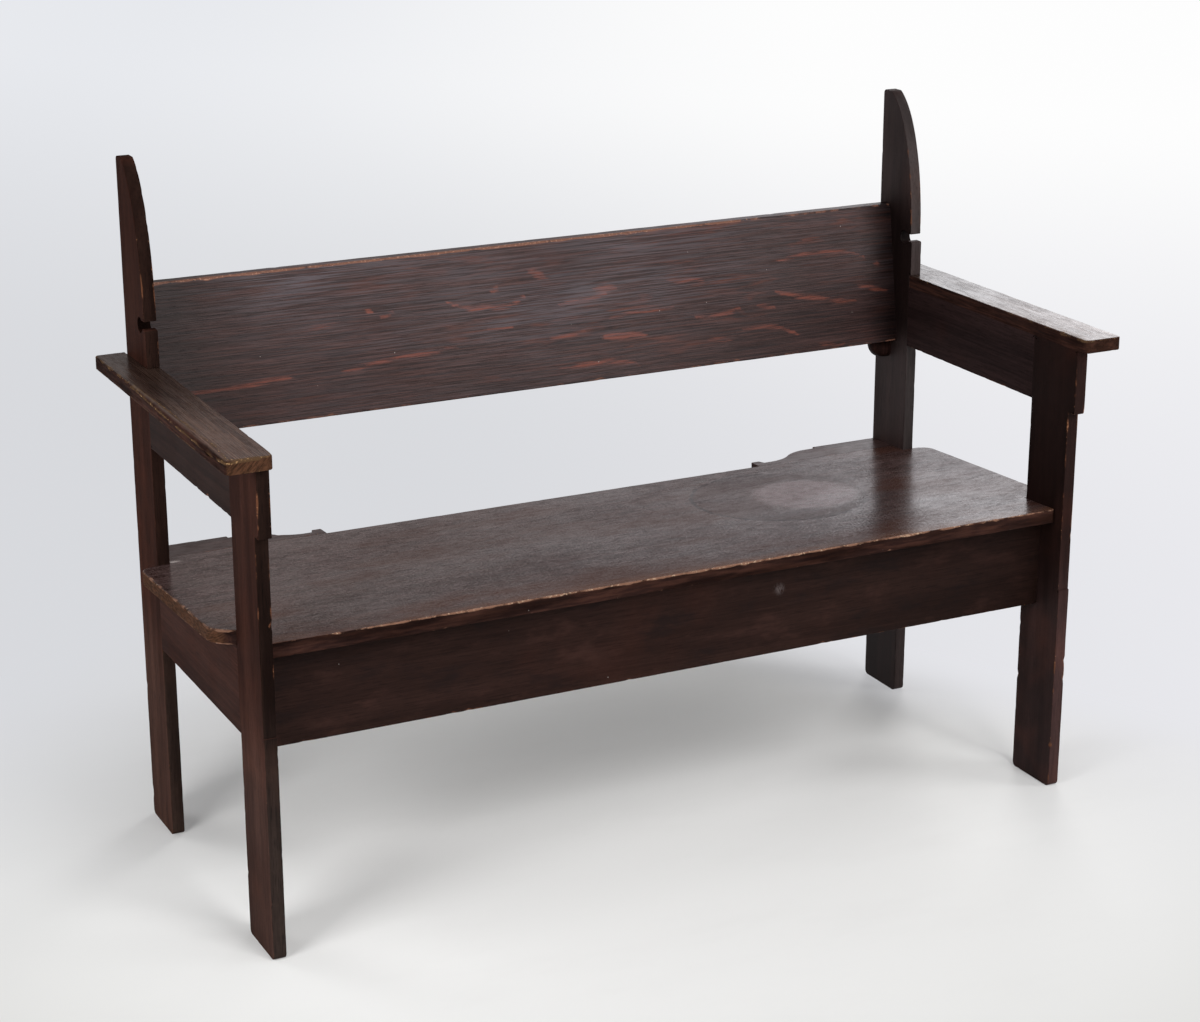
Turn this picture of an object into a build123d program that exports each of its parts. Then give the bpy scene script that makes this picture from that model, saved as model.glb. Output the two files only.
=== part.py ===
from build123d import *

import os
from math import acos, cos, degrees, radians, sqrt, tan

os.makedirs("parts", exist_ok=True)

# A mission settle: two end frames of posts and rails, joined by the seat, aprons and back board.
# Lengths are millimetres and angles are degrees. X runs along the bench, the sitter faces -Y and
# the floor is z = 0. A depth is measured forward from the plane of the posts' rear edges.

# End frames
frame_width = 1320.0  # over the outer faces of the two end frames
frame_stock = 19.0  # thickness of every post and rail
rail_opening = 354.0  # clear depth between a rear post and a front post
toe_radius = 8.0  # worn corners where the posts stand on the floor

# Rear posts
rear_post_height = 1033.0
rear_post_depth = 95.0
head_tip_depth = 23.0  # flat top left where the curve of the head ends
head_tip_radius = 6.0
head_curve_start = 809.0  # height where the front edge begins to curve back
keyhole_height = 799.0
keyhole_depth = 74.5
keyhole_radius = 10.7
slot_lower = 795.0
slot_height = 12.0
step_proud = 4.0  # block on the front edge between the arm and the slot
step_radius = 3.0

# Front posts
front_post_depth = 95.0
arm_block_proud = 15.0  # block on the front edge under the arm
foot_proud = 2.2  # thicker foot below the ledge
foot_ledge_height = 332.0

# Arms
arm_height = 739.0  # to the top face
arm_thickness = 20.0
arm_nose = 35.0  # in front of the front posts
arm_tail = 10.0  # behind the rear posts
arm_overhang = 46.0  # outside the end frame
arm_front_radius = 8.0
arm_rear_radius = 5.0
arm_arris = 2.5

# Rails
arm_rail_depth = 100.0
side_rail_lower = 305.0

# Seat
seat_front_height = 459.0  # top face at the front edge
seat_pitch = 2.8  # the seat falls towards the back
seat_thickness = 21.0
seat_setback = 18.0  # from the front posts' front edges to the seat's front edge
seat_rear_depth = 63.5
seat_wing = 29.0  # the seat's sides outside the end frames, between the posts
wing_gap = 2.0  # from the wing to the front post
wing_rear_radius = 23.0
wing_front_radius = 44.0
seat_corner_radius = 5.0
seat_arris = 1.5
seat_fit = 0.5  # clearance of the seat to the posts

# Seat ears, from the rear posts inwards
ear_flat_width = 120.0  # straight stretch flush with the posts' rear edges
ear_step = 8.0
ear_step_width = 19.0
ear_scroll_width = 92.0
ear_scroll_drop = 39.0
ear_waist_width = 10.0
ear_knob_slope = 4.0
ear_knob_rise = 11.5
ear_knob_width = 15.0
ear_knob_radius = 2.5

# Aprons
apron_stock = 19.0
front_apron_setback = 35.5  # behind the seat's front edge
front_apron_lower = 293.5
rear_apron_depth = 54.0
rear_apron_width = 90.0
apron_arris = 1.5

# Back board
back_thickness = 19.5
back_width = 229.0  # up the front face
back_recline = 8.5
back_lower_height = 621.0  # lower arris of the front face
back_lower_depth = 64.0
back_arris = 2.0

# Back cleats and the posts' housings for the board and the cleats
housing_depth = 6.0  # cut into the posts' inner faces
housing_below = 29.0  # past the board's lower edge
cleat_thickness = 18.5
cleat_reach = 34.0  # inwards from the posts
cleat_length = 190.0
cleat_end_radius = 25.0
cleat_nose_radius = 13.0
housing_fit = 0.4

# Tenons
tenon_thickness = 7.0
tenon_length = 24.0
tenon_shoulder = 14.0
stub_length = 10.0
stub_thickness = 9.0
stub_shoulder = 12.0
mortise_fit = 0.8  # past a tenon's end

# Dowels
dowel_radius = 4.0
dowel_fit = 0.1
dowel_end_fit = 1.0
dowel_chamfer = 1.0
arm_dowel_length = 40.0
arm_dowel_in_arm = 14.0
arm_dowel_places_share = (0.22, 0.75)  # along the arm rail
post_dowel_setback = 32.0  # behind the front post's front edge
ear_dowel_length = 36.0
ear_dowel_places_share = (0.12, 0.42, 0.72)  # along the ear

# Ledgers under the seat
ledger_size = 22.0
ledger_end_gap = 90.0  # from the posts' inner faces

# Screws
screw_radius = 2.0
screw_head_radius = 4.0
screw_slot_width = 1.0
screw_slot_depth = 1.0
screw_fit = 0.1
screw_end_fit = 0.5
ledger_screw_length = 35.0
ledger_screw_count = 5
seat_screw_length = 34.0
back_screw_length = 32.0
back_screw_places_share = (0.3, 0.75)  # along the cleat
cleat_screw_length = 42.0
cleat_screw_places_share = (0.42, 0.88)
screw_end_margin = 60.0  # from a ledger's ends to the first screws

# Places that follow from the sizes above
outer_x = frame_width / 2
inner_x = outer_x - frame_stock
front_post_rear = rear_post_depth + rail_opening
front_post_front = front_post_rear + front_post_depth
arm_lower = arm_height - arm_thickness
arm_rail_lower = arm_lower - arm_rail_depth
arm_front = front_post_front + arm_nose
seat_front_depth = front_post_front - seat_setback
wing_front = front_post_rear - wing_gap
front_apron_front = seat_front_depth - front_apron_setback
front_apron_rear = front_apron_front - apron_stock
rear_apron_front = rear_apron_depth + apron_stock
back_top = back_lower_height + back_width * cos(radians(back_recline))
overrun = frame_stock  # how far a cutting tool passes a surface


def y_at(depth):
    """Y of a depth; the arms, the deepest pieces, have their middle at Y = 0."""
    return (arm_front - arm_tail) / 2 - depth


def seat_top(depth):
    """Height of the seat's top face at a depth."""
    return seat_front_height - (seat_front_depth - depth) * tan(radians(seat_pitch))


def seat_under(depth):
    """Height of the seat's underside at a depth."""
    return seat_top(depth) - seat_thickness


def side_view(points):
    """Closed face of the YZ plane from (depth, height) corners."""
    return Plane.YZ * make_face(Polyline(*[(y_at(d), z) for d, z in points], close=True))


def across(face, x_from, x_to):
    """Solid of a YZ face between two X places."""
    return Pos(x_from, 0, 0) * extrude(face, x_to - x_from)


def block(x_span, depth_span, z_span):
    """Box between pairs of X places, depths and heights."""
    x0, x1 = x_span
    rear, front = depth_span
    z0, z1 = z_span
    corner = Pos(x0, y_at(front), z0)
    return corner * Box(x1 - x0, front - rear, z1 - z0, align=(Align.MIN, Align.MIN, Align.MIN))


def plate(corners):
    """Face of the XY plane from (x, depth, radius) corners."""
    face = make_face(Polyline(*[(x, y_at(d)) for x, d, _ in corners], close=True))
    for x, d, radius in corners:
        if radius > 0:
            corner = face.vertices().sort_by_distance(Vector(x, y_at(d), 0))[0]
            face = fillet(corner, radius)
    return face


def round_corner(face, depth, height, radius):
    """The same YZ face with its corner at a depth and a height rounded."""
    corner = face.vertices().sort_by_distance(Vector(0, y_at(depth), height))[0]
    return fillet(corner, radius)


def left(piece):
    """The opposite hand of a piece of the right end."""
    return mirror(piece, Plane.YZ)


def screw(length):
    """Slotted countersunk screw: the head's flat on the XY plane, the shank along -Z."""
    cone = screw_head_radius - screw_radius
    shank = Pos(0, 0, -length) * Cylinder(
        screw_radius, length - cone, align=(Align.CENTER, Align.CENTER, Align.MIN)
    )
    head = Pos(0, 0, -cone) * Cone(
        screw_radius, screw_head_radius, cone, align=(Align.CENTER, Align.CENTER, Align.MIN)
    )
    slot = Box(
        2 * screw_head_radius,
        screw_slot_width,
        screw_slot_depth,
        align=(Align.CENTER, Align.CENTER, Align.MAX),
    )
    return shank + head - slot


def screw_hole(length):
    """What a screw of this length takes out of the wood."""
    cone = screw_head_radius - screw_radius
    radius = screw_radius + screw_fit
    depth = length + screw_end_fit
    shank = Pos(0, 0, -depth) * Cylinder(radius, depth, align=(Align.CENTER, Align.CENTER, Align.MIN))
    sink = Pos(0, 0, -cone) * Cone(
        radius, radius + cone, cone, align=(Align.CENTER, Align.CENTER, Align.MIN)
    )
    return shank + sink


def dowel(length):
    """Dowel along Z, from the XY plane upwards, with softened ends."""
    rod = Cylinder(dowel_radius, length, align=(Align.CENTER, Align.CENTER, Align.MIN))
    return chamfer(rod.edges(), dowel_chamfer)


def dowel_hole(length):
    """What a dowel takes out of the wood, with room at both its ends."""
    radius = dowel_radius + dowel_fit
    hole = Cylinder(radius, length + 2 * dowel_end_fit, align=(Align.CENTER, Align.CENTER, Align.MIN))
    return Pos(0, 0, -dowel_end_fit) * hole


# The board and the cleats lean back together: a frame along the board's front face
lean = Plane(
    origin=(0, y_at(back_lower_depth), back_lower_height),
    x_dir=(1, 0, 0),
    z_dir=Vector(0, -1, 0).rotate(Axis.X, -back_recline),
)


def leaning(x_span, up_span, back_span):
    """Box in the lean's frame: X places, distances up the board and behind its front face."""
    x0, x1 = x_span
    low, high = up_span
    near, far = back_span
    corner = Pos(x0, low, -far)
    return lean * corner * Box(x1 - x0, high - low, far - near, align=(Align.MIN, Align.MIN, Align.MIN))


def board_space(x_span, low, back):
    """Leaning box from a distance up the board to its level top edge, this far behind its face."""
    whole = leaning(x_span, (low, back_width + back), (0, back))
    return whole - block(x_span, (-overrun, back_lower_depth), (back_top, back_top + 2 * back))


def rear_post():
    """Right rear post without its holes for screws."""
    ellipse_share = sqrt(1 - (head_tip_depth / rear_post_depth) ** 2)
    head_height = (rear_post_height - head_curve_start) / ellipse_share
    tip_angle = degrees(acos(-head_tip_depth / rear_post_depth))
    foot = (y_at(rear_post_depth), 0)
    shoulder = (y_at(rear_post_depth), head_curve_start)
    tip = (y_at(head_tip_depth), rear_post_height)
    center = (y_at(0), head_curve_start)
    head = EllipticalCenterArc(
        center, rear_post_depth, head_height, tip_angle, arc_size=180 - tip_angle
    )
    edges = Polyline(shoulder, foot, (y_at(0), 0), (y_at(0), rear_post_height), tip) + head
    outline = Plane.YZ * make_face(edges)
    outline = round_corner(outline, rear_post_depth, 0, toe_radius)
    outline = round_corner(outline, 0, 0, toe_radius)
    outline = round_corner(outline, 0, rear_post_height, head_tip_radius)
    step_front = rear_post_depth + step_proud
    step = side_view(
        [
            (keyhole_depth, arm_height),
            (step_front, arm_height),
            (step_front, slot_lower),
            (keyhole_depth, slot_lower),
        ]
    )
    step = round_corner(step, step_front, slot_lower, step_radius)
    slot_top = slot_lower + slot_height
    slot = side_view(
        [
            (keyhole_depth, slot_lower),
            (step_front + overrun, slot_lower),
            (step_front + overrun, slot_top),
            (keyhole_depth, slot_top),
        ]
    )
    hole = Plane.YZ * Pos(y_at(keyhole_depth), keyhole_height) * Circle(keyhole_radius)
    post = across(outline + step - slot - hole, inner_x, outer_x)
    housing = board_space(
        (inner_x - overrun, inner_x + housing_depth),
        -housing_below,
        back_thickness + cleat_thickness + housing_fit,
    )
    return post - housing - rail_mortises() - apron_mortise(rear_apron_depth, rear_apron_lower())


def front_post():
    """Right front post without its dowel hole."""
    foot_front = front_post_front + foot_proud
    block_front = front_post_front + arm_block_proud
    outline = side_view(
        [
            (front_post_rear, 0),
            (foot_front, 0),
            (foot_front, foot_ledge_height),
            (front_post_front, foot_ledge_height),
            (front_post_front, arm_rail_lower),
            (block_front, arm_rail_lower),
            (block_front, arm_lower),
            (front_post_rear, arm_lower),
        ]
    )
    outline = round_corner(outline, foot_front, 0, toe_radius)
    outline = round_corner(outline, front_post_rear, 0, toe_radius)
    post = across(outline, inner_x, outer_x)
    return post - rail_mortises() - apron_mortise(front_apron_rear, front_apron_lower)


def tenoned_rail(corners):
    """Right rail between the posts from its (depth, height) corners, with a tenon at each end."""
    rail = across(side_view(corners), inner_x, outer_x)
    return rail + rail_tenons(corners, 0)


def rail_tenons(corners, fit):
    """Tenons past both ends of a rail, grown lengthwise by a fit."""
    low = max(z for _, z in corners[:2]) + tenon_shoulder
    high = min(z for _, z in corners[2:]) - tenon_shoulder
    middle = (inner_x + outer_x) / 2
    reach = tenon_length + fit
    cheeks = (middle - tenon_thickness / 2, middle + tenon_thickness / 2)
    rear = block(cheeks, (rear_post_depth - reach, rear_post_depth), (low, high))
    front = block(cheeks, (front_post_rear, front_post_rear + reach), (low, high))
    return rear + front


def arm_rail_corners():
    """Corners of the rail under the arm, its lower edge first."""
    return [
        (rear_post_depth, arm_rail_lower),
        (front_post_rear, arm_rail_lower),
        (front_post_rear, arm_lower),
        (rear_post_depth, arm_lower),
    ]


def side_rail_corners():
    """Corners of the low rail, whose top follows the seat, its lower edge first."""
    return [
        (rear_post_depth, side_rail_lower),
        (front_post_rear, side_rail_lower),
        (front_post_rear, seat_under(front_post_rear)),
        (rear_post_depth, seat_under(rear_post_depth)),
    ]


def rail_mortises():
    """Room for both rails' tenons in both posts of the right end."""
    arm_tenons = rail_tenons(arm_rail_corners(), mortise_fit)
    return arm_tenons + rail_tenons(side_rail_corners(), mortise_fit)


def rear_apron_lower():
    """Height of the rear apron's lower edge."""
    return seat_under(rear_apron_depth) - rear_apron_width


def apron_stub(rear, lower, fit):
    """Stub tenon of an apron in the right post, grown lengthwise by a fit."""
    shoulder = (apron_stock - stub_thickness) / 2
    return block(
        (inner_x, inner_x + stub_length + fit),
        (rear + shoulder, rear + apron_stock - shoulder),
        (lower + stub_shoulder, seat_under(rear) - stub_shoulder),
    )


def apron_mortise(rear, lower):
    """Room for an apron's stub tenon in the right post."""
    return apron_stub(rear, lower, mortise_fit)


def apron(rear, lower):
    """Apron between the posts, its top against the seat."""
    front = rear + apron_stock
    outline = side_view(
        [(rear, lower), (front, lower), (front, seat_under(front)), (rear, seat_under(rear))]
    )
    outline = round_corner(outline, front, lower, apron_arris)
    board = across(outline, -inner_x, inner_x)
    stub = apron_stub(rear, lower, 0)
    return board + stub + left(stub)


def seat_slab():
    """Pitched slab that the seat and its ears are cut from."""
    rear = -overrun
    front = seat_front_depth + overrun
    half = outer_x + seat_wing + overrun
    outline = side_view(
        [
            (rear, seat_under(rear)),
            (front, seat_under(front)),
            (front, seat_top(front)),
            (rear, seat_top(rear)),
        ]
    )
    return across(outline, -half, half)


def from_slab(face):
    """Piece of the seat slab under a plan."""
    low = seat_under(-overrun)
    high = seat_top(seat_front_depth + overrun)
    return (Pos(0, 0, low) * extrude(face, high - low)) & seat_slab()


def seat_board():
    """Seat with its wings between the posts, without screw and dowel holes."""
    side = inner_x - seat_fit
    wing = outer_x + seat_wing
    wing_rear = rear_post_depth + seat_fit
    right_side = [
        (side, seat_rear_depth, 0),
        (side, wing_rear, 0),
        (wing, wing_rear, wing_rear_radius),
        (wing, wing_front, wing_front_radius),
        (side, wing_front, 0),
        (side, seat_front_depth, seat_corner_radius),
    ]
    left_side = [(-x, depth, radius) for x, depth, radius in reversed(right_side)]
    board = from_slab(plate(right_side + left_side))
    top = board.faces().sort_by(lambda face: face.normal_at().Z)[-1]
    return fillet(top.edges().sort_by(Axis.Y)[0], seat_arris)


def seat_ear():
    """Right ear: flat, step, scroll, waist and knob from the post inwards."""
    flat_end = inner_x - ear_flat_width
    scroll_start = flat_end - ear_step_width
    scroll_end = scroll_start - ear_scroll_width
    waist_end = scroll_end - ear_waist_width
    knob_start = waist_end - ear_knob_slope
    knob_end = knob_start - ear_knob_width
    waist_depth = ear_step + ear_scroll_drop
    knob_depth = waist_depth - ear_knob_rise
    scroll_top = (scroll_start, y_at(ear_step))
    scroll_middle = ((scroll_start + scroll_end) / 2, y_at((ear_step + waist_depth) / 2))
    waist = (scroll_end, y_at(waist_depth))
    upper = TangentArc(scroll_top, scroll_middle, tangent=(-1, 0))
    lower = TangentArc(waist, scroll_middle, tangent=(1, 0))
    knob = Polyline(
        waist,
        (waist_end, y_at(waist_depth)),
        (knob_start, y_at(knob_depth)),
        (knob_end, y_at(knob_depth)),
        (knob_end, y_at(seat_rear_depth)),
        (inner_x, y_at(seat_rear_depth)),
        (inner_x, y_at(0)),
        (flat_end, y_at(0)),
        (flat_end, y_at(ear_step)),
        scroll_top,
    )
    face = make_face(upper + lower + knob)
    for x in (knob_start, knob_end):
        corner = face.vertices().sort_by_distance(Vector(x, y_at(knob_depth), 0))[0]
        face = fillet(corner, ear_knob_radius)
    return from_slab(face)


def arm():
    """Right arm board, notched round the rear post, without its dowel holes."""
    edge = outer_x + arm_overhang
    face = plate(
        [
            (outer_x, -arm_tail, 0),
            (edge, -arm_tail, arm_rear_radius),
            (edge, arm_front, arm_front_radius),
            (inner_x, arm_front, arm_front_radius),
            (inner_x, rear_post_depth, 0),
            (outer_x, rear_post_depth, 0),
        ]
    )
    board = Pos(0, 0, arm_lower) * extrude(face, arm_thickness)
    rear_edge = board.edges().filter_by(GeomType.LINE).filter_by(Axis.Y).sort_by(Axis.X)
    top_outer = rear_edge[-2:].sort_by(Axis.Z)[-1]
    return fillet(top_outer, arm_arris)


def back_board():
    """Reclined back board, its ends in the posts' housings, without screw holes."""
    end = inner_x + housing_depth - housing_fit
    board = board_space((-end, end), 0, back_thickness)
    long_edges = board.edges().filter_by(Axis.X)
    return fillet(long_edges, back_arris)


def back_cleat():
    """Right cleat behind the back board, its end round at the bottom, without screw holes."""
    behind = (back_thickness, back_thickness + cleat_thickness)
    along = (-housing_below, cleat_length - housing_below)
    cleat = leaning((inner_x - cleat_reach, inner_x + housing_depth - housing_fit), along, behind)
    low_edges = cleat.edges().filter_by(lambda edge: edge.center().Z < back_lower_height)
    inboard = low_edges.filter_by(lambda edge: edge.center().X < inner_x - cleat_reach / 2)
    end_corner = inboard.filter_by(lambda edge: abs(edge.tangent_at(0).X) < abs(edge.tangent_at(0).Y))
    cleat = fillet(end_corner.sort_by(Axis.Z)[0], cleat_end_radius)
    nose = cleat.edges().filter_by(Axis.X).sort_by(Axis.Z)[:2].sort_by(Axis.Y)[0]
    return fillet(nose, cleat_nose_radius)


def ledger(rear):
    """Batten under the seat with its rear face at a depth."""
    front = rear + ledger_size
    outline = side_view(
        [
            (rear, seat_under(rear) - ledger_size),
            (front, seat_under(front) - ledger_size),
            (front, seat_under(front)),
            (rear, seat_under(rear)),
        ]
    )
    half = inner_x - ledger_end_gap
    return across(outline, -half, half)


def screw_row():
    """X places of the evenly spaced screws along a ledger."""
    half = inner_x - ledger_end_gap - screw_end_margin
    spaces = ledger_screw_count - 1
    return [half * (2 * i / spaces - 1) for i in range(ledger_screw_count)]


def arm_dowel_places():
    """Feet of the right arm's dowels."""
    middle = (inner_x + outer_x) / 2
    foot = arm_lower + arm_dowel_in_arm - arm_dowel_length
    along_rail = [rear_post_depth + share * rail_opening for share in arm_dowel_places_share]
    depths = along_rail + [front_post_front - post_dowel_setback]
    return [Pos(middle, y_at(depth), foot) for depth in depths]


def ear_dowel_places():
    """Rear ends of the right ear's dowels, which lie along the seat's pitch."""
    inner_end = inner_x - ear_flat_width - ear_step_width
    rear = seat_rear_depth - ear_dowel_length / 2
    height = seat_top(rear) - seat_thickness / 2
    forward = Vector(0, -1, 0).rotate(Axis.X, -seat_pitch)
    places = []
    for share in ear_dowel_places_share:
        x = inner_x + share * (inner_end - inner_x)
        places.append(Plane(origin=(x, y_at(rear), height), x_dir=(1, 0, 0), z_dir=forward))
    return places


def ledger_screw_places():
    """Heads of the screws that hold the ledgers to the aprons."""
    rows = [(front_apron_rear - ledger_size, (0, 1, 0)), (rear_apron_front + ledger_size, (0, -1, 0))]
    places = []
    for depth, outwards in rows:
        height = seat_under(depth) - ledger_size / 2
        for x in screw_row():
            places.append(Plane(origin=(x, y_at(depth), height), x_dir=(1, 0, 0), z_dir=outwards))
    return places


def seat_screw_places():
    """Heads of the screws that hold the seat to the ledgers, between the other screws."""
    down = Vector(0, 0, -1).rotate(Axis.X, seat_pitch)
    row = screw_row()
    between = [(near + far) / 2 for near, far in zip(row, row[1:])]
    places = []
    for rear in (front_apron_rear - ledger_size, rear_apron_front):
        depth = rear + ledger_size / 2
        height = seat_under(depth) - ledger_size
        for x in between:
            places.append(Plane(origin=(x, y_at(depth), height), x_dir=(1, 0, 0), z_dir=down))
    return places


def back_screw_places():
    """Heads of the right cleat's screws into the back board."""
    x = inner_x - cleat_reach / 2
    depth = -(back_thickness + cleat_thickness)
    rises = [share * cleat_length - housing_below for share in back_screw_places_share]
    return [lean * Pos(x, rise, depth) * Rot(180, 0, 0) for rise in rises]


def cleat_screw_places():
    """Heads of the right cleat's screws into the post."""
    middle = -(back_thickness + cleat_thickness / 2)
    rises = [share * cleat_length - housing_below for share in cleat_screw_places_share]
    return [lean * Pos(inner_x - cleat_reach, rise, middle) * Rot(0, -90, 0) for rise in rises]


def group(solids):
    """One node of separate solids."""
    return Compound(children=list(solids))


def bored(piece, places, tool):
    """A piece without what the tool takes out of it at each place."""
    for place in places:
        piece = piece - place * tool
    return piece


arm_dowel_holes = dowel_hole(arm_dowel_length)
ear_dowel_holes = dowel_hole(ear_dowel_length)
ledger_screw_holes = screw_hole(ledger_screw_length)
seat_screw_holes = screw_hole(seat_screw_length)
back_screw_holes = screw_hole(back_screw_length)
cleat_screw_holes = screw_hole(cleat_screw_length)

handed = {
    "rear_post": bored(rear_post(), cleat_screw_places(), cleat_screw_holes),
    "front_post": bored(front_post(), arm_dowel_places(), arm_dowel_holes),
    "arm_rail": bored(tenoned_rail(arm_rail_corners()), arm_dowel_places(), arm_dowel_holes),
    "seat_side_rail": tenoned_rail(side_rail_corners()),
    "arm": bored(arm(), arm_dowel_places(), arm_dowel_holes),
    "seat_ear": bored(seat_ear(), ear_dowel_places(), ear_dowel_holes),
    "back_cleat": bored(
        bored(back_cleat(), back_screw_places(), back_screw_holes),
        cleat_screw_places(),
        cleat_screw_holes,
    ),
}

back = bored(back_board(), back_screw_places(), back_screw_holes)
back = left(bored(left(back), back_screw_places(), back_screw_holes))
seat = bored(seat_board(), ear_dowel_places(), ear_dowel_holes)
seat = left(bored(left(seat), ear_dowel_places(), ear_dowel_holes))
seat = bored(seat, seat_screw_places(), seat_screw_holes)
ledger_places = ledger_screw_places()
seat_places = seat_screw_places()
front_ledger = bored(ledger(front_apron_rear - ledger_size), ledger_places, ledger_screw_holes)
rear_ledger = bored(ledger(rear_apron_front), ledger_places, ledger_screw_holes)

single = {
    "back_board": back,
    "seat_board": seat,
    "front_apron": bored(apron(front_apron_rear, front_apron_lower), ledger_places, ledger_screw_holes),
    "rear_apron": bored(apron(rear_apron_depth, rear_apron_lower()), ledger_places, ledger_screw_holes),
    "front_ledger": bored(front_ledger, seat_places, seat_screw_holes),
    "rear_ledger": bored(rear_ledger, seat_places, seat_screw_holes),
    "ledger_screws": group(place * screw(ledger_screw_length) for place in ledger_places),
    "seat_screws": group(place * screw(seat_screw_length) for place in seat_places),
}

paired = {
    "arm_dowels": [place * dowel(arm_dowel_length) for place in arm_dowel_places()],
    "ear_dowels": [place * dowel(ear_dowel_length) for place in ear_dowel_places()],
    "back_screws": [place * screw(back_screw_length) for place in back_screw_places()],
    "cleat_screws": [place * screw(cleat_screw_length) for place in cleat_screw_places()],
}

for name, piece in handed.items():
    export_step(piece, f"parts/{name}_right.step")
    export_step(left(piece), f"parts/{name}_left.step")
for name, piece in single.items():
    export_step(piece, f"parts/{name}.step")
for name, pieces in paired.items():
    export_step(group(pieces + [left(piece) for piece in pieces]), f"parts/{name}.step")
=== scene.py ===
import math

import bmesh
import bpy
import numpy as np
from mathutils import Matrix, Vector, geometry, noise
from mathutils.bvhtree import BVHTree


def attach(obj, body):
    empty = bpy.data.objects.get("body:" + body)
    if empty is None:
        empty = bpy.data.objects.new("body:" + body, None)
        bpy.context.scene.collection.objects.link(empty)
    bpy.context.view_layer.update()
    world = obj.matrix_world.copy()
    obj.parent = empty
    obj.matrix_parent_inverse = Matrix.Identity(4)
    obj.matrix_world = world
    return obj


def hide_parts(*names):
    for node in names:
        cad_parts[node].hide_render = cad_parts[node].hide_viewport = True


# A fumed oak settle on a pale studio floor. Lengths are metres in the row frame: X runs along the
# bench, the sitter faces -Y and the floor is z = 0. Every board is rebuilt from the outline of its
# own solid, with worn arrises, and gets a grain of its own.

MM = 0.001
X, Y, Z = 0, 1, 2

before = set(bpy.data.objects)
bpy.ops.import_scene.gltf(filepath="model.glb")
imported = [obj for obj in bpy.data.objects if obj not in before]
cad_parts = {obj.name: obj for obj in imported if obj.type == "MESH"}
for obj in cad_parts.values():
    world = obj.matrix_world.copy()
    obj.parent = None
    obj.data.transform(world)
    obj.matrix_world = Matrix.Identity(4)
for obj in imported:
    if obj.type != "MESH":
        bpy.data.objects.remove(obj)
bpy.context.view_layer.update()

# Camera
CAMERA_PLACE = (-1.7075, -3.3683, 1.7301)
CAMERA_AZIMUTH = math.radians(26.546)
CAMERA_ELEVATION = math.radians(-18.308)
CAMERA_ROLL = math.radians(-0.058)
CAMERA_LENS = 78.70
CAMERA_SENSOR = 36.0

# Lamps that light the bench: place, target, size, and power in watts
LAMPS = {
    "left_softbox": ((-2.15, -0.95, 1.15), (-0.65, 0, 0.45), 0.9, 26),
    "right_softbox": ((2.6, -1.6, 2.3), (0.4, 0, 0.4), 1.0, 19),
    "front_softbox": ((0.5, -3.1, 2.7), (0, 0, 0.4), 1.6, 85),
    "top_softbox": ((0, -0.5, 3.4), (0, 0, 0), 2.4, 25),
    "rear_softbox": ((2.4, 2.6, 2.0), (0, 0, 0.4), 1.2, 41),
    "rear_left_softbox": ((-2.2, 2.4, 2.0), (0, 0, 0.4), 1.2, 20),
}
# The same for the lamp that only shows in what the bench reflects
WINDOW = ((2.25, 1.75, 1.85), (2.25, 0.75, 1.85), 1.5, 11)

# World: fill light, and the bright places that the bench reflects
FILL_POWER = 0.14
REAR_GLOW = (50, 14)  # azimuth and elevation in degrees
FRONT_GLOW = (155, 8)
FRONT_GLOW_POWER = 2.2
DIM_REFLECTION = 0.27
REAR_HALO = 0.62
REAR_CORE = 1.0

# Floor
FLOOR_PAINT = (0.84, 0.835, 0.825, 1.0)
FLOOR_REACH = 30.0
FLOOR_DROP = 0.1 * MM  # keeps it clear of the undersides of the feet
SHADOW_REACH = (0.5, 1.2)  # the floor goes from painted to glowing at these distances from the bench
SHADOW_DEPTH = (0.65, 1.1)  # and at these behind it, where the shadow ends

# Turns that bring the leaning pieces upright
BACK_RECLINE = math.radians(8.5)
SEAT_PITCH = math.radians(2.8)
TOP_BAND = 20 * MM  # below the upright back board's top: from here up it is planed level
TOP_FADE = 12 * MM

# Outlines
LEVEL = 0.02 * MM  # how far a flat face's corners may be off its level
BIG_FACE = 0.3  # of the biggest flat face's area
SHORTEST_SIDE = 0.05 * MM
STRAIGHT = 0.02  # sine of a turn that isn't a corner
SQUARE = 0.7  # sine of a turn that gets a rounded corner
ARC_MIDDLE = 0.293  # of the radius, from a square corner to the middle of its arc
NEXT_SIDE = 0.3 * MM  # a side nearer than this, straight in, is the point's own
FAR_SIDE = 1.0
GRID_CLEAR = 0.4  # of the spacing, between a face's inner points and its outline
TINY = 1e-12  # stands in for a zero divisor
MERGE = 1e-6

# Worn arrises
STEP = 8 * MM  # spacing of points along an outline
CORNER_RADIUS = 1.2 * MM
SEAM = 0.7 * MM  # boards this close meet in a joint, where the arrises stay crisp
SEAM_RADIUS = 0.25 * MM
ARC_STEPS = 4
WEAR_REACH = 3.5 * MM  # how far wear fades from an arris
RIPPLES = 30.0  # per metre of arris, and nicks
NICKS = 110.0
RIPPLE_ROUND = 0.5  # share of a rounding that the ripples change, then of the wear's strength
RIPPLE_WEAR = 0.3
TOP_SHIFT = 7.0  # gives a board's two faces ripples of their own
NICK_FLOOR = 0.38  # noise above this cuts a nick
NICK_DEPTH = 9 * MM
NICK_WEAR = 120.0  # per metre of depth
WIDEST_ROUND = 0.42  # of a board's width, then of its thickness
DEEPEST_ROUND = 0.6
WIDEST_MARGIN = 0.47
FACET_FROM = 3 * MM  # a rounding of this radius or more shows as a worn facet
FACET_OVER = 8 * MM
FACET_MIDDLE = 0.6  # of WEAR_REACH: how far from an arris its middle counts as, at most
SHARP = math.radians(40)

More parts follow.
